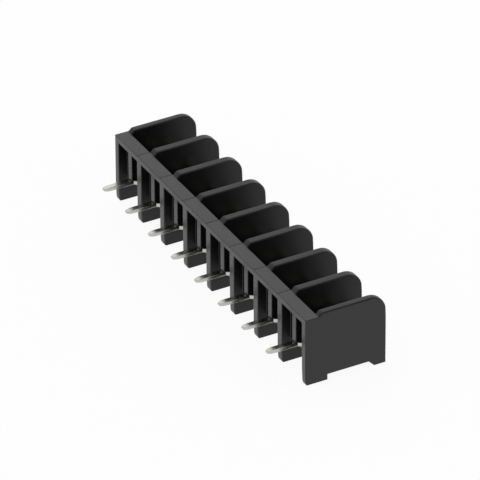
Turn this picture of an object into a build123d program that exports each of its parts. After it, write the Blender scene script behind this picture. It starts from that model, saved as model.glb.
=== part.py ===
from build123d import *
import math
import os

# Single-row barrier terminal block with straight rear pins.
# Every shape is drawn in millimetres with Y measured forward from the rear face of the housing,
# Z measured up from the feet and X along the row, and is then moved back so that the middle of the
# whole part, pins included, is the origin.

# Row
POLES = 8
PITCH = 9.5

# Barriers between the cells, and the thinner ones that close the two ends
BARRIER = 1.8
END_BARRIER = 1.5
DEPTH = 17.4
HEIGHT = 15.3
FRONT_RADIUS = 3.4

# Beam that ties the barriers together along the rear of the top
BEAM_DEPTH = 2.9
BEAM_THICKNESS = 1.2
BEAM_DROP = 0.7

# Feet: one behind and one in front of an arch under every barrier
REAR_FOOT = 4.8
FRONT_FOOT = 2.5
ARCH = 1.2
HEEL_HEIGHT = 3.0
HEEL_DRAFT = 0.25
HEEL_BREAK = 0.85

# Rear wall of a cell, with two pockets parted by a rib over the pin
REAR_WALL = 1.0
RIB_WIDTH = 1.5
RIB_SETBACK = 0.5

# Floor that carries the terminals, and the aprons and the screw well under it
FLOOR_THICKNESS = 1.0
APRON = 1.0
SEAT_SETBACK = 0.5
WELL_WALL = 0.8
WELL_FLOOR = 0.8

# Terminal: one flat strip, from the pin to the screw seat
STRIP = 0.8
STRIP_LEVEL = 6.0
PIN_WIDTH = 1.2
PIN_REACH = 5.5
PIN_TIP_WIDTH = 0.7
PIN_TIP_LENGTH = 0.9
PIN_TIP_BREAK = 0.2
SHOULDER_START = 0.95
SHOULDER_ANGLE = 54.0
NECK_WIDTH = 3.0
SEAT_WIDTH = 6.6
SEAT_CORNER = 0.6
SEAT_FRONT_GAP = 0.6
COLLAR_RADIUS = 2.4
COLLAR_DEPTH = 1.4

# Clamp screw and its captive washer
SCREW_FORWARD = 10.5
SHANK_RADIUS = 1.5
SHANK_LENGTH = 5.0
SHANK_POINT = 0.4
HEAD_RADIUS = 3.3
HEAD_HEIGHT = 2.4
HEAD_CROWN_RADIUS = 2.3
HEAD_CROWN_DROP = 0.9
DRIVE_WIDTH = 0.9
DRIVE_DEPTH = 1.2
WASHER_WIDTH = 6.4
WASHER_THICKNESS = 0.8
WASHER_CORNER = 0.8

# Clearances
SLOT_CLEARANCE = 0.1
THREAD_CLEARANCE = 0.05
COLLAR_CLEARANCE = 0.3
WASHER_CLEARANCE = 0.35
POINT_CLEARANCE = 0.3

# Worked out from the sizes above
BEAM_TOP = HEIGHT - BEAM_DROP
BEAM_UNDERSIDE = BEAM_TOP - BEAM_THICKNESS
CELL_WIDTH = PITCH - BARRIER
HALF_ROW = POLES * PITCH / 2
HALF_LENGTH = HALF_ROW - BARRIER / 2 + END_BARRIER
STRIP_TOP = STRIP_LEVEL + STRIP
SEAT_FRONT = DEPTH - SEAT_SETBACK
PLATE_FRONT = SEAT_FRONT - SEAT_FRONT_GAP
REAR_WALL_BACK = BEAM_DEPTH - REAR_WALL
FLOOR_UNDERSIDE = STRIP_LEVEL - FLOOR_THICKNESS
WELL_RADIUS = COLLAR_RADIUS + COLLAR_CLEARANCE
WELL_BLOCK = 2 * (WELL_RADIUS + WELL_WALL)
HEAD_SEAT = STRIP_TOP + WASHER_THICKNESS
TAP_RADIUS = SHANK_RADIUS + THREAD_CLEARANCE
SCREW_POINT = HEAD_SEAT - SHANK_LENGTH
WELL_BOTTOM = SCREW_POINT - POINT_CLEARANCE
UNDERSIDE = WELL_BOTTOM - WELL_FLOOR
TO_ORIGIN = Location((0, -(DEPTH - PIN_REACH) / 2, 0))


def cell_middle(pole):
    """X of the middle of one cell, counted from 0 at the -X end."""
    return (pole - (POLES - 1) / 2) * PITCH


def block(x_range, y_range, z_range):
    """A plain box between three pairs of limits."""
    size = [high - low for low, high in (x_range, y_range, z_range)]
    middle = [(high + low) / 2 for low, high in (x_range, y_range, z_range)]
    return Pos(*middle) * Box(*size)


def cell_block(pole, y_range, z_range):
    """A box right across one cell, sunk into half of the barrier on each side."""
    half = (CELL_WIDTH + min(BARRIER, END_BARRIER)) / 2
    middle = cell_middle(pole)
    return block((middle - half, middle + half), y_range, z_range)


def upright_cylinder(x, y, radius, bottom, top):
    """A cylinder along Z between two levels."""
    return Pos(x, y, (bottom + top) / 2) * Cylinder(radius, top - bottom)


def barrier(left, right):
    """One barrier: side outline with heel, arch, feet and rounded top front, carried across X."""
    corners = [
        (0, HEEL_HEIGHT),
        (0, BEAM_TOP),
        (BEAM_DEPTH, BEAM_TOP),
        (BEAM_DEPTH + BEAM_DROP, HEIGHT),
        (DEPTH, HEIGHT),
        (DEPTH, 0),
        (DEPTH - FRONT_FOOT, 0),
        (DEPTH - FRONT_FOOT - ARCH, ARCH),
        (REAR_FOOT, ARCH),
        (REAR_FOOT, 0),
        (HEEL_BREAK, 0),
        (HEEL_DRAFT, HEEL_BREAK - HEEL_DRAFT),
    ]
    outline = make_face(Polyline(*corners, close=True))
    top_front = outline.vertices().sort_by_distance((DEPTH, HEIGHT, 0))[0]
    outline = fillet(top_front, FRONT_RADIUS)
    return extrude(Plane.YZ.offset(left) * outline, right - left)


def barriers():
    """The end barriers and the ones between cells, from -X to +X."""
    plates = []
    for place in range(POLES + 1):
        line = place * PITCH - HALF_ROW
        left = -HALF_LENGTH if place == 0 else line - BARRIER / 2
        right = HALF_LENGTH if place == POLES else line + BARRIER / 2
        plates.append(barrier(left, right))
    return plates


def beam():
    """The bar along the rear of the top, from end barrier to end barrier."""
    reach = HALF_LENGTH - END_BARRIER / 2
    return block((-reach, reach), (0, BEAM_DEPTH), (BEAM_UNDERSIDE, BEAM_TOP))


def rear_wall(pole):
    """The wall behind the screw, and the rib between its two pockets that ends over the pin."""
    wall = cell_block(pole, (REAR_WALL_BACK, BEAM_DEPTH), (FLOOR_UNDERSIDE, BEAM_TOP))
    middle = cell_middle(pole)
    rib = block(
        (middle - RIB_WIDTH / 2, middle + RIB_WIDTH / 2),
        (RIB_SETBACK, REAR_WALL_BACK + REAR_WALL / 2),
        (STRIP_TOP + SLOT_CLEARANCE, BEAM_UNDERSIDE + BEAM_THICKNESS / 2),
    )
    return wall + rib


def seat(pole):
    """Floor, aprons and well block under one terminal, with the well bored in it."""
    middle = cell_middle(pole)
    below = (UNDERSIDE, STRIP_LEVEL)
    floor = cell_block(pole, (REAR_WALL_BACK, SEAT_FRONT), (FLOOR_UNDERSIDE, STRIP_LEVEL))
    rear_apron = cell_block(pole, (REAR_FOOT, REAR_FOOT + APRON), below)
    front_apron = cell_block(pole, (SEAT_FRONT - APRON, SEAT_FRONT), below)
    well_range = (SCREW_FORWARD - WELL_BLOCK / 2, SCREW_FORWARD + WELL_BLOCK / 2)
    well_block = cell_block(pole, well_range, below)
    well = upright_cylinder(middle, SCREW_FORWARD, WELL_RADIUS, WELL_BOTTOM, STRIP_LEVEL)
    return floor + rear_apron + front_apron + well_block - well


def strip_slot(pole):
    """The slot through the rear wall that the terminal's neck passes through."""
    half = NECK_WIDTH / 2 + SLOT_CLEARANCE
    middle = cell_middle(pole)
    return block(
        (middle - half, middle + half),
        (RIB_SETBACK, BEAM_DEPTH + REAR_WALL),
        (STRIP_LEVEL, STRIP_TOP + SLOT_CLEARANCE),
    )


def housing():
    """The one-piece moulding: barriers, beam, pocketed rear walls and seats."""
    body = Part() + barriers() + beam()
    for pole in range(POLES):
        body = body + rear_wall(pole) + seat(pole)
    for pole in range(POLES):
        body = body - strip_slot(pole)
    return body


def terminal(pole):
    """One flat strip: pin, sloping shoulder, neck, screw seat and tapped collar."""
    shoulder_out = (NECK_WIDTH - PIN_WIDTH) / 2
    shoulder_end = SHOULDER_START + shoulder_out * math.tan(math.radians(SHOULDER_ANGLE))
    widening = (SEAT_WIDTH - NECK_WIDTH) / 2
    right_side = [
        (PIN_TIP_WIDTH / 2, -PIN_REACH),
        (PIN_WIDTH / 2, PIN_TIP_LENGTH - PIN_REACH),
        (PIN_WIDTH / 2, SHOULDER_START),
        (NECK_WIDTH / 2, shoulder_end),
        (NECK_WIDTH / 2, REAR_FOOT),
        (SEAT_WIDTH / 2, REAR_FOOT + widening),
        (SEAT_WIDTH / 2, PLATE_FRONT - SEAT_CORNER),
        (SEAT_WIDTH / 2 - SEAT_CORNER, PLATE_FRONT),
    ]
    left_side = [(-x, y) for x, y in reversed(right_side)]
    outline = make_face(Polyline(*right_side, *left_side, close=True))
    strip = extrude(Plane.XY.offset(STRIP_LEVEL) * outline, STRIP)
    tip = strip.faces().sort_by(Axis.Y)[0]
    strip = chamfer(tip.edges().filter_by(Axis.X), PIN_TIP_BREAK)
    strip += upright_cylinder(0, SCREW_FORWARD, COLLAR_RADIUS, STRIP_LEVEL - COLLAR_DEPTH, STRIP_TOP)
    strip -= upright_cylinder(0, SCREW_FORWARD, TAP_RADIUS, STRIP_LEVEL - COLLAR_DEPTH, STRIP_TOP)
    return Pos(cell_middle(pole), 0, 0) * strip


def clamp_washer(pole):
    """The square washer under the head, which the barriers keep from turning."""
    square = Rectangle(WASHER_WIDTH, WASHER_WIDTH)
    square = chamfer(square.vertices(), WASHER_CORNER)
    plate = extrude(square - Circle(SHANK_RADIUS + WASHER_CLEARANCE), WASHER_THICKNESS)
    return Pos(cell_middle(pole), SCREW_FORWARD, STRIP_TOP) * plate


def screw(pole):
    """Slotted pan head screw, standing in the washer with its shank through the tapped collar."""
    shank_bottom = SCREW_POINT - HEAD_SEAT
    outline = Polyline(
        (0, shank_bottom),
        (SHANK_RADIUS - SHANK_POINT, shank_bottom),
        (SHANK_RADIUS, shank_bottom + SHANK_POINT),
        (SHANK_RADIUS, 0),
        (HEAD_RADIUS, 0),
        (HEAD_RADIUS, HEAD_HEIGHT - HEAD_CROWN_DROP),
        (HEAD_CROWN_RADIUS, HEAD_HEIGHT),
        (0, HEAD_HEIGHT),
        close=True,
    )
    body = revolve(Plane.XZ * make_face(outline), Axis.Z)
    body -= Pos(0, 0, HEAD_HEIGHT - DRIVE_DEPTH / 2) * Box(2 * HEAD_RADIUS, DRIVE_WIDTH, DRIVE_DEPTH)
    return Pos(cell_middle(pole), SCREW_FORWARD, HEAD_SEAT) * body


def all_parts():
    """Every piece by its node name."""
    parts = {"housing": housing()}
    for pole in range(POLES):
        parts[f"terminal_{pole + 1}"] = terminal(pole)
        parts[f"clamp_washer_{pole + 1}"] = clamp_washer(pole)
        parts[f"screw_{pole + 1}"] = screw(pole)
    return parts


os.makedirs("parts", exist_ok=True)
for name, piece in all_parts().items():
    export_step(TO_ORIGIN * piece, f"parts/{name}.step")
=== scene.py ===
"""Looks of a single-row barrier terminal block, built around its solids.

Every length is in metres in the frame of the solids: +X along the row, +Y from the pins towards the wire
side, +Z up from the feet.
"""

import logging
import math
from collections.abc import Callable
from dataclasses import dataclass, field
from enum import Enum

import bmesh
import bpy
import numpy as np
from mathutils import Matrix, Vector


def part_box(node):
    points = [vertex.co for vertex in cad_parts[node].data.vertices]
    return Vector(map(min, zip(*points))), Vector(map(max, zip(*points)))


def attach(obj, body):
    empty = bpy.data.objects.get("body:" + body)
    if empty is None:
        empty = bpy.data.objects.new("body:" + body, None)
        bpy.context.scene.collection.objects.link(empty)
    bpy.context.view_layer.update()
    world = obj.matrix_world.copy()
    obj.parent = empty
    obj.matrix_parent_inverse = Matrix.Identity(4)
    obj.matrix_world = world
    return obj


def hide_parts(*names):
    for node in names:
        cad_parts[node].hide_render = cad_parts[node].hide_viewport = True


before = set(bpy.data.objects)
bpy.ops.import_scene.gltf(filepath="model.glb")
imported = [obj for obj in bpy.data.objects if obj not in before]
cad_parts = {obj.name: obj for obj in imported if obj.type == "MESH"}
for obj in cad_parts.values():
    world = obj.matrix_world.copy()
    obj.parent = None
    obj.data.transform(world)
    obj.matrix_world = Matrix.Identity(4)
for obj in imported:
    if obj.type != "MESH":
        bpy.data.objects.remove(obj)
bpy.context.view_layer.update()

LOG = logging.getLogger("terminal_block")
MM = 0.001

# Two faces that fold by more than SHARP meet in an edge, and by less than FLAT they are one face
SHARP = math.radians(28)
FLAT = math.radians(0.5)

# Corners nearer than WELD are one corner, and a cut passes through a corner nearer than CUT_NEAR
WELD = 0.001 * MM
CUT_NEAR = 0.0001 * MM

# How many pieces the curve at each corner of a profile has
CORNER_STEPS = 4

WHITE = (1.0, 1.0, 1.0, 1.0)

# The Mix node's colour sockets go by number, because its other sockets have the same names
MIX_FIRST, MIX_SECOND, MIX_RESULT = 6, 7, 2


def linear(code: str) -> tuple[float, float, float, float]:
    """Turns an sRGB hex colour into linear light.

    Shares up to 0.04045 are divided by 12.92. Higher ones are (share + 0.055) / 1.055 to the power 2.4.

    Args:
        code: six hex digits with a leading hash.

    Returns:
        Red, green, blue and an alpha of 1.
    """
    shares = np.array([int(code[place : place + 2], 16) for place in (1, 3, 5)]) / 255
    light = np.where(shares <= 0.04045, shares / 12.92, ((shares + 0.055) / 1.055) ** 2.4)
    return (*light.tolist(), 1.0)


def add_node(
    tree: bpy.types.NodeTree,
    kind: str,
    settings: dict | None = None,
    values: dict | None = None,
    links: dict | None = None,
) -> bpy.types.Node:
    """Adds one shader node with its settings, socket values and links.

    Args:
        tree: the node tree that gets the node.
        kind: the node's type name.
        settings: the node's own properties.
        values: fixed values by input name or number.
        links: output sockets by input name or number.

    Returns:
        The new node.
    """
    node = tree.nodes.new(kind)
    for name, value in (settings or {}).items():
        setattr(node, name, value)
    for key, value in (values or {}).items():
        node.inputs[key].default_value = value
    for key, socket in (links or {}).items():
        tree.links.new(socket, node.inputs[key])
    return node


def new_material(name: str) -> tuple[bpy.types.Material, bpy.types.NodeTree, bpy.types.Node]:
    """Makes a material that holds only its output.

    Args:
        name: the material's name.

    Returns:
        The material, its tree and its output node.
    """
    made = bpy.data.materials.new(name)
    made.use_nodes = True
    made.node_tree.nodes.clear()
    return made, made.node_tree, add_node(made.node_tree, "ShaderNodeOutputMaterial")


def object_place(tree: bpy.types.NodeTree) -> bpy.types.NodeSocket:
    """The surface point in the piece's own metres, which stays with the piece when it moves."""
    return add_node(tree, "ShaderNodeTexCoord").outputs["Object"]


@dataclass(frozen=True)
class MouldedPolyester:
    """Black glass-filled PBT polyester, moulded in a spark-eroded tool.

    The tool leaves a fine matt grain, so the gloss is broad and soft. The skin carries faint flow streaks.
    The core inserts that form the cells are finer worked, and their glass-rich skin takes less of a shine.
    The grain is drawn a few times coarser than the tool's own, which would be too fine to show.
    """

    name: str = "black_pbt_moulded"
    shine: float = 0.5
    dark: str = "#0c0c0d"
    light: str = "#131314"
    ior: float = 1.46
    roughness_low: float = 0.22
    roughness_high: float = 0.32
    grain: float = 0.16 * MM
    grain_detail: float = 2.0
    grain_fade: float = 0.6
    grain_height: float = 0.03 * MM
    streak: float = 3.5 * MM
    streak_detail: float = 3.0
    streak_fade: float = 0.55

    def build(self) -> bpy.types.Material:
        """Makes the material.

        Returns:
            The material.
        """
        made, tree, output = new_material(self.name)
        place = object_place(tree)
        streaks = add_node(
            tree,
            "ShaderNodeTexNoise",
            values={"Scale": 1 / self.streak, "Detail": self.streak_detail, "Roughness": self.streak_fade},
            links={"Vector": place},
        )
        colour = add_node(
            tree,
            "ShaderNodeMix",
            settings={"data_type": "RGBA"},
            values={MIX_FIRST: linear(self.dark), MIX_SECOND: linear(self.light)},
            links={0: streaks.outputs["Fac"]},
        )
        grain = add_node(
            tree,
            "ShaderNodeTexNoise",
            values={"Scale": 1 / self.grain, "Detail": self.grain_detail, "Roughness": self.grain_fade},
            links={"Vector": place},
        )
        gloss = add_node(
            tree,
            "ShaderNodeMapRange",
            values={"To Min": self.roughness_low, "To Max": self.roughness_high},
            links={"Value": streaks.outputs["Fac"]},
        )
        bump = add_node(
            tree,
            "ShaderNodeBump",
            values={"Strength": 1.0, "Distance": self.grain_height},
            links={"Height": grain.outputs["Fac"]},
        )
        shader = add_node(
            tree,
            "ShaderNodeBsdfPrincipled",
            values={"IOR": self.ior, "Specular IOR Level": self.shine},
            links={
                "Base Color": colour.outputs[MIX_RESULT],
                "Roughness": gloss.outputs["Result"],
                "Normal": bump.outputs["Normal"],
            },
        )
        tree.links.new(shader.outputs["BSDF"], output.inputs["Surface"])
        return made


class Plating(Enum):
    """The two plated metals of the block."""

    TIN = "tin_over_brass"
    NICKEL = "nickel_over_steel"


@dataclass(frozen=True)
class PlatedMetal:
    """Thin bright plating on a stamped or turned part.

    Plating fills the finest tool marks and leaves long soft ones, so reflections are clear but slightly
    drawn out along the rolling direction of the strip. The marks are drawn coarser than real ones, so that
    they show.
    """

    plating: Plating
    dark: str
    light: str
    roughness_low: float
    roughness_high: float
    mark: float = 0.09 * MM
    mark_stretch: float = 14.0
    mark_detail: float = 2.0
    mark_height: float = 0.0015 * MM
    mark_strength: float = 0.4
    cloud: float = 1.25 * MM
    cloud_detail: float = 3.0

    def build(self) -> bpy.types.Material:
        """Makes the material.

        Returns:
            The material.
        """
        made, tree, output = new_material(self.plating.value)
        place = object_place(tree)
        drawn_out = add_node(
            tree,
            "ShaderNodeMapping",
            values={"Scale": (1.0, 1.0 / self.mark_stretch, 1.0)},
            links={"Vector": place},
        )
        marks = add_node(
            tree,
            "ShaderNodeTexNoise",
            values={"Scale": 1 / self.mark, "Detail": self.mark_detail},
            links={"Vector": drawn_out.outputs["Vector"]},
        )
        clouds = add_node(
            tree,
            "ShaderNodeTexNoise",
            values={"Scale": 1 / self.cloud, "Detail": self.cloud_detail},
            links={"Vector": place},
        )
        colour = add_node(
            tree,
            "ShaderNodeMix",
            settings={"data_type": "RGBA"},
            values={MIX_FIRST: linear(self.dark), MIX_SECOND: linear(self.light)},
            links={0: clouds.outputs["Fac"]},
        )
        gloss = add_node(
            tree,
            "ShaderNodeMapRange",
            values={"To Min": self.roughness_low, "To Max": self.roughness_high},
            links={"Value": clouds.outputs["Fac"]},
        )
        bump = add_node(
            tree,
            "ShaderNodeBump",
            values={"Strength": self.mark_strength, "Distance": self.mark_height},
            links={"Height": marks.outputs["Fac"]},
        )
        shader = add_node(
            tree,
            "ShaderNodeBsdfPrincipled",
            values={"Metallic": 1.0},
            links={
                "Base Color": colour.outputs[MIX_RESULT],
                "Roughness": gloss.outputs["Result"],
                "Normal": bump.outputs["Normal"],
            },
        )
        tree.links.new(shader.outputs["BSDF"], output.inputs["Surface"])
        return made


def in_scene(name: str, data: bpy.types.ID) -> bpy.types.Object:
    """Adds an object to the scene.

    Args:
        name: the new object's name.
        data: its mesh, lamp or camera.

    Returns:
        The new object, at the origin.
    """
    made = bpy.data.objects.new(name, data)
    bpy.context.scene.collection.objects.link(made)
    return made


def merged_copy(node: str, name: str) -> bpy.types.Object:
    """Copies a solid's mesh with its loose triangles joined into whole flat faces.

    Args:
        node: the solid's node.
        name: the new piece's name.

    Returns:
        The new object, at the origin.
    """
    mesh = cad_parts[node].data.copy()
    mesh.name = name
    mesh.materials.clear()
    work = bmesh.new()
    work.from_mesh(mesh)
    bmesh.ops.remove_doubles(work, verts=work.verts, dist=WELD)
    bmesh.ops.dissolve_limit(work, angle_limit=FLAT, verts=work.verts, edges=work.edges)
    work.to_mesh(mesh)
    work.free()
    return in_scene(name, mesh)


def corners_of(piece: bpy.types.Object) -> np.ndarray:
    """Reads a piece's corners.

    Args:
        piece: the object.

    Returns:
        The corners, count by three.
    """
    points = np.empty(3 * len(piece.data.vertices))
    piece.data.vertices.foreach_get("co", points)
    return points.reshape(-1, 3)


def skin(name: str, points: np.ndarray, looped: bool = False) -> bpy.types.Object:
    """Closes a grid of points into one surface.

    The columns go round, and the last meets the first. The rows meet too where the surface is looped, as on
    a ring. Otherwise a flat face closes the first row and the last.

    Args:
        name: the new piece's name.
        points: the grid, rows by columns by three.
        looped: whether the last row meets the first.

    Returns:
        The new object, at the origin.
    """
    rows, columns, _ = points.shape
    row, column = np.meshgrid(np.arange(rows if looped else rows - 1), np.arange(columns), indexing="ij")
    next_row, next_column = (row + 1) % rows, (column + 1) % columns
    corners = ((row, column), (row, next_column), (next_row, next_column), (next_row, column))
    faces = np.stack([down * columns + along for down, along in corners], axis=-1).reshape(-1, 4).tolist()
    if not looped:
        ring = np.arange(columns)
        faces += [ring[::-1].tolist(), (ring + (rows - 1) * columns).tolist()]
    mesh = bpy.data.meshes.new(name)
    mesh.from_pydata(points.reshape(-1, 3), [], faces)
    return in_scene(name, mesh)


def eased(corners: np.ndarray, cuts: np.ndarray) -> np.ndarray:
    """Rounds the corners of a closed profile.

    Each corner becomes a parabola: with t from 0 to 1 it is (1 - t) squared of a point before the corner,
    plus 2 t (1 - t) of the corner, plus t squared of a point after it. Both points are the cut away from
    the corner.

    Args:
        corners: the corners, count by two.
        cuts: the cut at each corner.

    Returns:
        The rounded profile, count by two.
    """

    def towards(others: np.ndarray) -> np.ndarray:
        """The point at each corner's cut, on the way to another corner."""
        way = others - corners
        return corners + way / np.linalg.norm(way, axis=1, keepdims=True) * cuts[:, None]

    before = towards(np.roll(corners, 1, axis=0))[:, None]
    after = towards(np.roll(corners, -1, axis=0))[:, None]
    t = np.linspace(0.0, 1.0, CORNER_STEPS + 1)[None, :, None]
    curves = (1 - t) ** 2 * before + 2 * t * (1 - t) * corners[:, None] + t**2 * after
    return curves.reshape(-1, 2)


def turned(profile: np.ndarray, centre: Vector, steps: int) -> np.ndarray:
    """Carries a profile round an upright axis.

    At a turn a, the point (r, z) of the profile is at (r cos a, r sin a, z) from the centre.

    Args:
        profile: radius and height, count by two.
        centre: where the axis crosses height 0.
        steps: how many columns go round.

    Returns:
        The grid of points.
    """
    turn = np.linspace(0.0, 2 * np.pi, steps, endpoint=False)[None]
    radius, height = profile[:, :1], np.broadcast_to(profile[:, 1:], (len(profile), steps))
    return np.stack([radius * np.cos(turn), radius * np.sin(turn), height], axis=-1) + np.array(centre)


def apply_modifiers(piece: bpy.types.Object) -> None:
    """Makes what a piece's modifiers show its own mesh.

    Args:
        piece: the object.
    """
    shown = piece.evaluated_get(bpy.context.evaluated_depsgraph_get())
    mesh = bpy.data.meshes.new_from_object(shown)
    piece.modifiers.clear()
    piece.data = mesh


def moved_copy(piece: bpy.types.Object, name: str, way: Vector) -> bpy.types.Object:
    """Copies a piece and moves the copy's mesh.

    Args:
        piece: the object to copy.
        name: the new piece's name.
        way: how far the mesh moves.

    Returns:
        The copy, at the origin and without a material.
    """
    mesh = piece.data.copy()
    mesh.materials.clear()
    mesh.transform(Matrix.Translation(way))
    return in_scene(name, mesh)


def cut_out(piece: bpy.types.Object, cutter: bpy.types.Object) -> None:
    """Cuts one closed shape out of a piece and deletes the cutter.

    Args:
        piece: the object.
        cutter: the shape to cut out.
    """
    cut = piece.modifiers.new("cut", "BOOLEAN")
    cut.object = cutter
    cut.solver = "EXACT"
    cut.operation = "DIFFERENCE"
    apply_modifiers(piece)
    bpy.data.objects.remove(cutter)


def weigh_edges(piece: bpy.types.Object, weight: Callable[[Vector], float]) -> None:
    """Gives every sharp edge of a piece its share of the rounding.

    Args:
        piece: the object.
        weight: the share at an edge's middle.
    """
    work = bmesh.new()
    work.from_mesh(piece.data)
    shares = work.edges.layers.float.new("bevel_weight_edge")
    for edge in work.edges:
        if edge.calc_face_angle(0.0) > SHARP:
            edge[shares] = weight((edge.verts[0].co + edge.verts[1].co) / 2)
    work.to_mesh(piece.data)
    work.free()


def shade_smooth(piece: bpy.types.Object) -> None:
    """Shades a piece's curved faces smooth and keeps its sharp edges.

    Args:
        piece: the object.
    """
    for face in piece.data.polygons:
        face.use_smooth = True
    piece.data.set_sharp_from_angle(angle=SHARP)


def round_edges(piece: bpy.types.Object, radius: float, steps: int = 2, weighed: bool = False) -> None:
    """Rounds a piece's sharp edges and shades its curved faces smooth.

    Args:
        piece: the object.
        radius: the radius of the rounding.
        steps: how many faces go round an edge.
        weighed: whether each edge has its own share of the radius.
    """
    shade_smooth(piece)
    bevel = piece.modifiers.new("edges", "BEVEL")
    bevel.width = radius
    bevel.segments = steps
    bevel.limit_method = "WEIGHT" if weighed else "ANGLE"
    bevel.angle_limit = SHARP
    bevel.use_clamp_overlap = False
    bevel.harden_normals = True


def weigh_normals(piece: bpy.types.Object) -> None:
    """Keeps the shading of large flats plain beside their rounded edges."""
    weighted = piece.modifiers.new("flats", "WEIGHTED_NORMAL")
    weighted.keep_sharp = True


@dataclass
class Housing:
    """The one-piece moulding.

    The edges along the barriers' outline and on their heels are rounder than the rest, because the tool was
    polished there. The heel's two profiles give distances ahead of the rear face and heights above the feet:
    those of the solid, and those that the photograph shows.
    """

    node: str = "housing"
    body: str = "block"
    edge: float = 0.12 * MM
    barrier_edge: float = 0.30 * MM
    barrier_edge_steps: int = 3
    barrier: float = 1.8 * MM
    beam_top: float = 14.6 * MM
    beam_depth: float = 2.9 * MM
    front_level: float = 6.5 * MM
    front_bend: float = 3.6 * MM
    core_level: float = 5.0 * MM
    heel_reach: float = 1.2 * MM
    heel_level: float = 3.1 * MM
    heel_edge: float = 0.28 * MM
    heel_solid: tuple[tuple[float, float], ...] = ((0.0, 3.0 * MM), (0.25 * MM, 0.60 * MM), (0.85 * MM, 0.0))
    heel_seen: tuple[tuple[float, float], ...] = ((0.0, 2.0 * MM), (0.06 * MM, 0.60 * MM), (0.20 * MM, 0.0))
    heel_near: float = 0.05 * MM
    level_near: float = 0.02 * MM
    beam_near: float = 0.01 * MM
    top_skin: float = 0.1 * MM
    end_facing: float = 0.9
    witness_width: float = 0.25 * MM
    witness_depth: float = 0.11 * MM
    finish: MouldedPolyester = field(default_factory=MouldedPolyester)
    core_finish: MouldedPolyester = field(
        default_factory=lambda: MouldedPolyester(
            name="black_pbt_cored", shine=0.36, roughness_low=0.32, roughness_high=0.42
        )
    )

    def edge_share(self, middle: Vector, rear: float, front: float) -> float:
        """The share of the barriers' rounding that an edge gets.

        Args:
            middle: the edge's middle.
            rear: where the moulding ends towards the pins.
            front: where the moulding ends towards the wires.

        Returns:
            The share, up to 1.
        """
        above = middle.z > self.beam_top + self.level_near
        ahead = middle.y > front - self.front_bend and middle.z > self.front_level
        if middle.y < rear + self.heel_reach and middle.z < self.heel_level:
            return self.heel_edge / self.barrier_edge
        return 1.0 if above or ahead else self.edge / self.barrier_edge

    def narrow_heels(self, piece: bpy.types.Object, rear: float) -> None:
        """Brings the break at the heels' lower corners in to what the photograph shows.

        Args:
            piece: the housing.
            rear: where the rear faces are.
        """
        points = corners_of(piece)
        for solid, seen in zip(self.heel_solid, self.heel_seen):
            found = np.hypot(points[:, 1] - rear - solid[0], points[:, 2] - solid[1]) < self.heel_near
            points[found, 1:] = (rear + seen[0], seen[1])
        piece.data.vertices.foreach_set("co", points.ravel())

    def witness_lines(self, piece: bpy.types.Object, lines: list[float], rear: float) -> None:
        """Presses a hairline across the beam where two core inserts of the tool meet.

        The beam's top is cut at the hairline's two sides and then along its middle, and the corners of the
        middle cut are moved down.

        Args:
            piece: the moulding.
            lines: where the hairlines are along the row.
            rear: where the moulding ends towards the pins.
        """
        work = bmesh.new()
        work.from_mesh(piece.data)
        for line in lines:
            for place in (-0.5, 0.5, 0.0):
                top = [
                    face
                    for face in work.faces
                    if face.calc_center_median().z > self.beam_top - self.top_skin
                    and face.calc_center_median().y < rear + self.beam_depth + self.beam_near
                ]
                parts = {part for face in top for part in (face, *face.edges, *face.verts)}
                cut = bmesh.ops.bisect_plane(
                    work,
                    geom=list(parts),
                    plane_co=(line + place * self.witness_width, 0, 0),
                    plane_no=(1, 0, 0),
                    dist=CUT_NEAR,
                )
            for part in cut["geom_cut"]:
                if isinstance(part, bmesh.types.BMVert):
                    part.co.z -= self.witness_depth
        work.to_mesh(piece.data)
        work.free()
        piece.data.set_sharp_from_angle(angle=SHARP)
        weigh_normals(piece)

    def finish_cells(self, piece: bpy.types.Object, rear: float, side: float) -> None:
        """Gives the faces that the core inserts form their own finish.

        They are the cells' insides and the barriers' tops and fronts, down to the core inserts' lower end.

        Args:
            piece: the moulding.
            rear: where it ends towards the pins.
            side: how far its ends are from the middle of the row.
        """
        faces = piece.data.polygons
        centres, normals = np.empty(3 * len(faces)), np.empty(3 * len(faces))
        faces.foreach_get("center", centres)
        faces.foreach_get("normal", normals)
        x, y, z = centres.reshape(-1, 3).T
        facing_out = abs(normals.reshape(-1, 3)[:, 0]) > self.end_facing
        outer = (abs(x) > side - self.level_near) & facing_out
        cored = (y > rear + self.beam_depth - self.beam_near) & (z > self.core_level) & ~outer
        faces.foreach_set("material_index", cored.astype(np.int32))

    def build(self, middles: list[float]) -> bpy.types.Object:
        """Dresses the moulding.

        Args:
            middles: the cells' middles along the row.

        Returns:
            The piece.
        """
        piece = merged_copy(self.node, "housing_moulding")
        (_, rear, _), (side, front, _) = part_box(self.node)
        self.narrow_heels(piece, rear)
        weigh_edges(piece, lambda middle: self.edge_share(middle, rear, front))
        round_edges(piece, self.barrier_edge, self.barrier_edge_steps, weighed=True)
        apply_modifiers(piece)
        between = [(near + far) / 2 - self.barrier / 2 for near, far in zip(middles, middles[1:])]
        self.witness_lines(piece, between, rear)
        for finish in (self.finish, self.core_finish):
            piece.data.materials.append(finish.build())
        self.finish_cells(piece, rear, side)
        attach(piece, self.body)
        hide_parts(self.node)
        return piece


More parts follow.
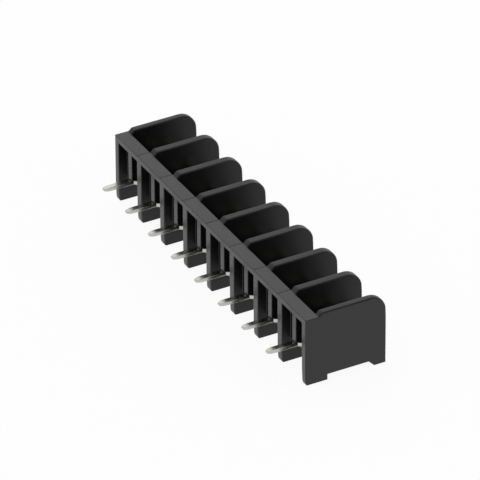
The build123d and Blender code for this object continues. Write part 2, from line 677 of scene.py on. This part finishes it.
@dataclass
class Terminals:
    """The stamped and plated strips that run from the pins to the screw seats."""

    body: str = "block"
    edge: float = 0.07 * MM
    coined: float = 2.0 * MM
    coined_share: float = 0.4
    coined_steps: int = 5

    def coin_tip(self, piece: bpy.types.Object) -> None:
        """Thins the pin towards its tip in a smooth curve, as the coining die does.

        At a share u of the way from the start of the point to the tip, the thickness is 1 - c u squared of
        the full one, where c is the share that the die takes off at the tip.

        Args:
            piece: the strip.
        """
        work = bmesh.new()
        work.from_mesh(piece.data)
        tip = min(corner.co.y for corner in work.verts)
        start = tip + self.coined
        for past in np.linspace(0.0, self.coined, self.coined_steps, endpoint=False).tolist():
            whole = work.verts[:] + work.edges[:] + work.faces[:]
            bmesh.ops.bisect_plane(work, geom=whole, plane_co=(0, start - past, 0), plane_no=(0, 1, 0))
        work.to_mesh(piece.data)
        work.free()
        points = corners_of(piece)
        middle = points[points[:, 1] < tip + self.edge, 2].mean()
        share = np.clip((start - points[:, 1]) / self.coined, 0.0, 1.0)
        points[:, 2] = middle + (points[:, 2] - middle) * (1 - self.coined_share * share**2)
        piece.data.vertices.foreach_set("co", points.ravel())

    def build(self, count: int, finish: bpy.types.Material) -> list[bpy.types.Object]:
        """Dresses every strip.

        Args:
            count: the number of poles.
            finish: the plating.

        Returns:
            The pieces.
        """
        pieces = []
        for number in range(1, count + 1):
            node = f"terminal_{number}"
            piece = merged_copy(node, f"{node}_strip")
            self.coin_tip(piece)
            round_edges(piece, self.edge)
            piece.data.materials.append(finish)
            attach(piece, self.body)
            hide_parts(node)
            pieces.append(piece)
        return pieces


@dataclass
class ClampWashers:
    """The stamped square plates that press the wires down.

    A press blanks them from strip, so one side has the punch's rolled-over edge and the other a crisp one.
    """

    width: float = 6.4 * MM
    corner: float = 1.4 * MM
    hole: float = 1.85 * MM
    roll_over: float = 0.22 * MM
    crisp: float = 0.06 * MM
    steps: int = 96

    def points(self, low: Vector, high: Vector) -> np.ndarray:
        """A rounded rectangle carried round the hole and stretched out to a rounded square.

        At a turn a, the square's outline is h / max(|cos a|, |sin a|) from the middle along its flats.
        Round a corner it is d (|cos a| + |sin a|) plus the root of c^2 - d^2 (|cos a| - |sin a|)^2, where h
        is half the width, c the corner's radius and d their difference.

        Args:
            low: the plate's lowest corner.
            high: its highest corner.

        Returns:
            The grid of points.
        """
        half, thickness = self.width / 2, high.z - low.z
        corners = np.array([(self.hole, 0.0), (half, 0.0), (half, thickness), (self.hole, thickness)])
        section = eased(corners, np.array([self.crisp, self.crisp, self.roll_over, self.roll_over]))
        turn = np.linspace(0.0, 2 * np.pi, self.steps, endpoint=False)
        long = np.maximum(abs(np.cos(turn)), abs(np.sin(turn)))
        short = np.minimum(abs(np.cos(turn)), abs(np.sin(turn)))
        set_in = half - self.corner
        flat = half / long
        bend = set_in * (long + short) + np.sqrt(
            np.maximum(self.corner**2 - (set_in * (long - short)) ** 2, 0.0)
        )
        outline = np.where(short / long < set_in / half, flat, bend)
        share = (section[:, :1] - self.hole) / (half - self.hole)
        radius = self.hole + share * (outline - self.hole)[None]
        height = np.broadcast_to(section[:, 1:], radius.shape)
        points = np.stack([radius * np.cos(turn), radius * np.sin(turn), height], axis=-1)
        middle = (low + high) / 2
        return points + np.array([middle.x, middle.y, low.z])

    def build(self, count: int, finish: bpy.types.Material) -> list[bpy.types.Object]:
        """Makes every washer.

        Args:
            count: the number of poles.
            finish: the plating.

        Returns:
            The pieces.
        """
        pieces = []
        for number in range(1, count + 1):
            node = f"clamp_washer_{number}"
            low, high = (Vector(corner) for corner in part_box(node))
            piece = skin(f"{node}_plate", self.points(low, high), looped=True)
            shade_smooth(piece)
            piece.data.materials.append(finish)
            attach(piece, f"clamp_{number}")
            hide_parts(node)
            pieces.append(piece)
        return pieces


@dataclass
class ClampScrews:
    """Cold-headed pan screws with a rolled thread, a slot and a cross recess for either driver.

    The thread is a blunt triangle. Its root and crest give how far its flanks reach up and down from its
    middle, in pitches, and it starts a little inside the core so that the two join.
    """

    head: float = 3.3 * MM
    head_height: float = 2.4 * MM
    head_cut: float = 0.12 * MM
    head_inner_cut: float = 0.08 * MM
    crown: float = 2.3 * MM
    crown_drop: float = 0.9 * MM
    crown_cut: float = 0.5 * MM
    core: float = 1.40 * MM
    thread: float = 1.75 * MM
    thread_sunk: float = 0.1 * MM
    thread_root: float = 0.47
    thread_crest: float = 0.08
    pitch: float = 0.6 * MM
    neck: float = 1.5 * MM
    neck_length: float = 0.35 * MM
    neck_cut: float = 0.03 * MM
    point: float = 1.1 * MM
    point_rise: float = 0.45 * MM
    point_cut: float = 0.05 * MM
    slot: float = 0.9 * MM
    slot_depth: float = 1.2 * MM
    wing_top: float = 1.9 * MM
    wing_bottom: float = 0.55 * MM
    wing_depth: float = 1.75 * MM
    driver_over: float = 0.3 * MM
    edge: float = 0.05 * MM
    weld: float = 0.002 * MM
    steps: int = 64
    thread_steps: int = 40

    def profile(self, length: float) -> np.ndarray:
        """The turned outline, from the middle of the point up the outside to the middle of the crown.

        The two ends on the axis have no cut, so their curves are single points, of which one is kept.

        Args:
            length: the shank's length.

        Returns:
            Radius and height, count by two.
        """
        head, top = self.head, self.head_height
        corners = np.array(
            [
                (0.0, -length),
                (self.point, -length),
                (self.core, self.point_rise - length),
                (self.core, -self.neck_length - (self.neck - self.core)),
                (self.neck, -self.neck_length),
                (self.neck, 0.0),
                (head, 0.0),
                (head, top - self.crown_drop),
                (self.crown, top),
                (0.0, top),
            ]
        )
        shank_cuts = [0.0, self.point_cut, self.point_cut, self.neck_cut, self.neck_cut]
        head_cuts = [self.head_inner_cut, self.head_cut, self.crown_cut, self.crown_cut, 0.0]
        return eased(corners, np.array(shank_cuts + head_cuts))[CORNER_STEPS:-CORNER_STEPS]

    def ridge(self, length: float, centre: Vector) -> np.ndarray:
        """The thread: a blunt triangle carried up a helix.

        At a turn a, the ridge is at height pitch a / 2 pi. Its crest stands out by its full height times a
        ramp, which rises from nothing over the first half turn and falls over the last.

        Args:
            length: the shank's length.
            centre: where the axis crosses the head's seat.

        Returns:
            The grid of points, along the helix by round the triangle.
        """
        rise = length - self.neck_length - self.point_rise - self.pitch / 2
        turns = rise / self.pitch
        turn = np.linspace(0.0, 2 * np.pi * turns, int(turns * self.thread_steps))[:, None]
        ramp = np.clip(np.minimum(turn, turn[-1] - turn) / np.pi, 0.0, 1.0)
        sunk = self.core - self.thread_sunk
        outwards = np.array([0.0, 1.0, 1.0, 0.0])
        root, crest = self.thread_root, self.thread_crest
        upwards = np.array([root, crest, -crest, -root]) * self.pitch
        radius = sunk + outwards * (self.thread - sunk) * ramp
        height = self.point_rise + self.pitch / 4 - length + turn / (2 * np.pi) * self.pitch + upwards
        points = np.stack([radius * np.cos(turn), radius * np.sin(turn), height], axis=-1)
        return points + np.array(centre)

    def wedge(self, top: float, bottom: float, depth: float, crossed: bool, centre: Vector) -> np.ndarray:
        """A bar as wide as the slot, whose half length shrinks from top to bottom.

        It stands out over the crown a little, and its half length there goes on by the same slope.

        Args:
            top: half its length over the crown.
            bottom: half its length at its foot.
            depth: how deep it goes into the head.
            crossed: whether it lies across the slot.
            centre: where the axis crosses the head's seat.

        Returns:
            The grid of points, from its foot up.
        """
        over = self.driver_over
        half = np.array([bottom, top + (top - bottom) * over / depth])[:, None]
        along = half * np.array([-1.0, 1.0, 1.0, -1.0])
        across = np.ones((2, 1)) * np.array([-1.0, -1.0, 1.0, 1.0]) * self.slot / 2
        height = np.ones((1, 4)) * np.array([-depth, over])[:, None] + self.head_height
        level = (-across, along) if crossed else (along, across)
        return np.stack([*level, height], axis=-1) + np.array(centre)

    def first(self, name: str, seat: Vector, length: float) -> bpy.types.Object:
        """Makes one screw.

        Args:
            name: the new piece's name.
            seat: where the axis crosses the head's seat.
            length: the shank's length.

        Returns:
            The piece, without a material.
        """
        piece = skin(name, turned(self.profile(length), seat, self.steps))
        reach = self.head + MM
        bars = (
            (reach, reach, self.slot_depth, False),
            (self.wing_top, self.wing_bottom, self.wing_depth, True),
            (self.wing_top, self.wing_bottom, self.wing_depth, False),
        )
        for bar in bars:
            cut_out(piece, skin("driver", self.wedge(*bar, seat)))
        round_edges(piece, self.edge)
        weigh_normals(piece)
        apply_modifiers(piece)
        thread = skin("thread", self.ridge(length, seat))
        shade_smooth(thread)
        work = bmesh.new()
        for part in (piece, thread):
            work.from_mesh(part.data)
        bmesh.ops.remove_doubles(work, verts=work.verts, dist=self.weld)
        work.to_mesh(piece.data)
        work.free()
        bpy.data.objects.remove(thread)
        return piece

    def build(self, count: int, finish: bpy.types.Material) -> list[bpy.types.Object]:
        """Makes the first screw and copies it to every other cell.

        Args:
            count: the number of poles.
            finish: the plating.

        Returns:
            The pieces.
        """
        pieces: list[bpy.types.Object] = []
        for number in range(1, count + 1):
            node = f"screw_{number}"
            low, high = (Vector(corner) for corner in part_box(node))
            seat = Vector(((low.x + high.x) / 2, (low.y + high.y) / 2, high.z - self.head_height))
            if pieces:
                piece = moved_copy(pieces[0], f"{node}_pan_head", seat - first_seat)
            else:
                piece, first_seat = self.first(f"{node}_pan_head", seat, seat.z - low.z), seat
            piece.data.materials.append(finish)
            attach(piece, f"screw_body_{number}")
            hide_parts(node)
            pieces.append(piece)
        return pieces


@dataclass
class PhotoCamera:
    """The camera that took the photograph, solved from the edges of the block in it.

    Angles are in degrees, the sensor's width in millimetres, and the target's place in the picture and the
    focal length in pixels.
    """

    azimuth: float = 61.64
    elevation: float = 32.12
    roll: float = -0.33
    distance: float = 1276.7 * MM
    target: tuple[float, float, float] = (-0.1 * MM, 3.05 * MM, 8.0 * MM)
    target_pixel: tuple[float, float] = (249.1, 242.6)
    focal_pixels: float = 6625.0
    frame_pixels: float = 480.0
    sensor: float = 36.0
    far_limit: float = 20.0

    def build(self) -> None:
        """Makes the camera and sets it as the scene's.

        The line of sight goes out from the target by azimuth, from -Y towards +X, and by elevation. The
        target's pixel is reached with a small shift.
        """
        turn, rise, roll = (math.radians(angle) for angle in (self.azimuth, self.elevation, self.roll))
        back = Vector((math.sin(turn) * math.cos(rise), -math.cos(turn) * math.cos(rise), math.sin(rise)))
        level = Vector((math.cos(turn), math.sin(turn), 0.0))
        upright = back.cross(level)
        right = level * math.cos(roll) + upright * math.sin(roll)
        up = upright * math.cos(roll) - level * math.sin(roll)
        data = bpy.data.cameras.new("camera")
        data.sensor_width = self.sensor
        data.lens = self.focal_pixels * self.sensor / self.frame_pixels
        middle = self.frame_pixels / 2
        data.shift_x = (middle - self.target_pixel[0]) / self.frame_pixels
        data.shift_y = (self.target_pixel[1] - middle) / self.frame_pixels
        data.clip_end = self.far_limit
        camera = in_scene("camera", data)
        place = Vector(self.target) + back * self.distance
        axes = Matrix((right, up, back)).transposed().to_4x4()
        camera.matrix_world = Matrix.Translation(place) @ axes
        bpy.context.scene.camera = camera


@dataclass(frozen=True)
class Softbox:
    """A square soft lamp that points at the block, with its side in metres and its power in watts."""

    name: str
    place: tuple[float, float, float]
    side: float
    power: float

    def build(self) -> None:
        """Hangs the lamp."""
        data = bpy.data.lights.new(self.name, "AREA")
        data.size = self.side
        data.energy = self.power
        lamp = in_scene(self.name, data)
        lamp.location = self.place
        lamp.rotation_euler = Vector(self.place).to_track_quat("Z", "Y").to_euler()


@dataclass
class Studio:
    """A plain white table, a pale surround that is dimmer towards +X, and two soft lamps.

    The table shows as white to the camera up to the share seen_white, and the rest of it takes the shadow.
    """

    table_half: float = 3.0
    table_colour: str = "#fbfbfb"
    seen_white: float = 0.93
    mirrored_white: float = 1.0
    surround: float = 1.0
    surround_dim: float = 0.62
    bright_side: float = -0.3
    dim_side: float = 0.5
    lamps: tuple[Softbox, ...] = (
        Softbox("back_softbox", (-0.52, 0.28, 0.37), side=0.45, power=0.20),
        Softbox("rear_softbox", (-0.36, -0.80, 0.38), side=0.80, power=0.5),
    )

    def table_material(self) -> bpy.types.Material:
        """White to the camera and in reflections, with a faint shadow under the block.

        Returns:
            The material.
        """
        made, tree, output = new_material("white_table")
        rays = add_node(tree, "ShaderNodeLightPath")
        mirrored = add_node(
            tree,
            "ShaderNodeMath",
            settings={"operation": "MAXIMUM"},
            links={0: rays.outputs["Is Glossy Ray"], 1: rays.outputs["Is Transmission Ray"]},
        )
        mirrored_share = add_node(
            tree,
            "ShaderNodeMath",
            settings={"operation": "MULTIPLY"},
            values={1: self.mirrored_white},
            links={0: mirrored.outputs["Value"]},
        )
        share = add_node(
            tree,
            "ShaderNodeMath",
            settings={"operation": "MULTIPLY_ADD"},
            values={1: self.seen_white},
            links={0: rays.outputs["Is Camera Ray"], 2: mirrored_share.outputs["Value"]},
        )
        lit = add_node(tree, "ShaderNodeBsdfDiffuse", values={"Color": linear(self.table_colour)})
        white = add_node(tree, "ShaderNodeEmission", values={"Color": WHITE, "Strength": 1.0})
        mixed = add_node(
            tree,
            "ShaderNodeMixShader",
            links={0: share.outputs["Value"], 1: lit.outputs["BSDF"], 2: white.outputs["Emission"]},
        )
        tree.links.new(mixed.outputs["Shader"], output.inputs["Surface"])
        return made

    def table(self) -> None:
        """Makes a flat square on the plane of the feet."""
        half = self.table_half
        corners = [(-half, -half, 0.0), (half, -half, 0.0), (half, half, 0.0), (-half, half, 0.0)]
        mesh = bpy.data.meshes.new("table")
        mesh.from_pydata(corners, [], [(0, 1, 2, 3)])
        mesh.materials.append(self.table_material())
        in_scene("table", mesh)

    def light_surround(self) -> None:
        """Makes the world: white to the camera, and lit from the -X side more than from the +X side."""
        world = bpy.data.worlds.new("surround")
        world.use_nodes = True
        tree = world.node_tree
        tree.nodes.clear()
        rays = add_node(tree, "ShaderNodeLightPath")
        direction = add_node(tree, "ShaderNodeTexCoord").outputs["Generated"]
        along = add_node(tree, "ShaderNodeSeparateXYZ", links={"Vector": direction}).outputs["X"]
        lit = add_node(
            tree,
            "ShaderNodeMapRange",
            settings={"interpolation_type": "SMOOTHSTEP"},
            values={
                "From Min": self.bright_side,
                "From Max": self.dim_side,
                "To Min": self.surround,
                "To Max": self.surround_dim,
            },
            links={"Value": along},
        )
        strength = add_node(
            tree,
            "ShaderNodeMapRange",
            values={"To Max": 1.0},
            links={"Value": rays.outputs["Is Camera Ray"], "To Min": lit.outputs["Result"]},
        )
        sky = add_node(
            tree,
            "ShaderNodeBackground",
            values={"Color": WHITE},
            links={"Strength": strength.outputs["Result"]},
        )
        output = add_node(tree, "ShaderNodeOutputWorld")
        tree.links.new(sky.outputs["Background"], output.inputs["Surface"])
        bpy.context.scene.world = world

    def build(self) -> None:
        """Makes the table, the lamps and the surround."""
        self.table()
        for lamp in self.lamps:
            lamp.build()
        self.light_surround()


def set_colour_view() -> None:
    """Shows colours as they are written."""
    bpy.context.scene.view_settings.view_transform = "Standard"


def main() -> None:
    """Builds the block piece by piece, then the studio and the camera."""
    logging.basicConfig(level=logging.INFO, format="%(message)s")
    poles = sum(node.startswith("screw_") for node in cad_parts)
    tin = PlatedMetal(Plating.TIN, "#b0afab", "#c8c7c3", roughness_low=0.17, roughness_high=0.27).build()
    nickel = PlatedMetal(
        Plating.NICKEL, "#b9b6ae", "#cbc8c0", roughness_low=0.20, roughness_high=0.32, mark_stretch=1.0
    ).build()
    boxes = [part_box(f"screw_{number}") for number in range(1, poles + 1)]
    middles = [(low[0] + high[0]) / 2 for low, high in boxes]
    pieces = [Housing().build(middles)]
    pieces += Terminals().build(poles, tin)
    pieces += ClampWashers().build(poles, nickel)
    pieces += ClampScrews().build(poles, nickel)
    for piece in pieces:
        LOG.info("%s: %d faces", piece.name, len(piece.data.polygons))
    Studio().build()
    PhotoCamera().build()
    set_colour_view()


if __name__ == "__main__":
    main()
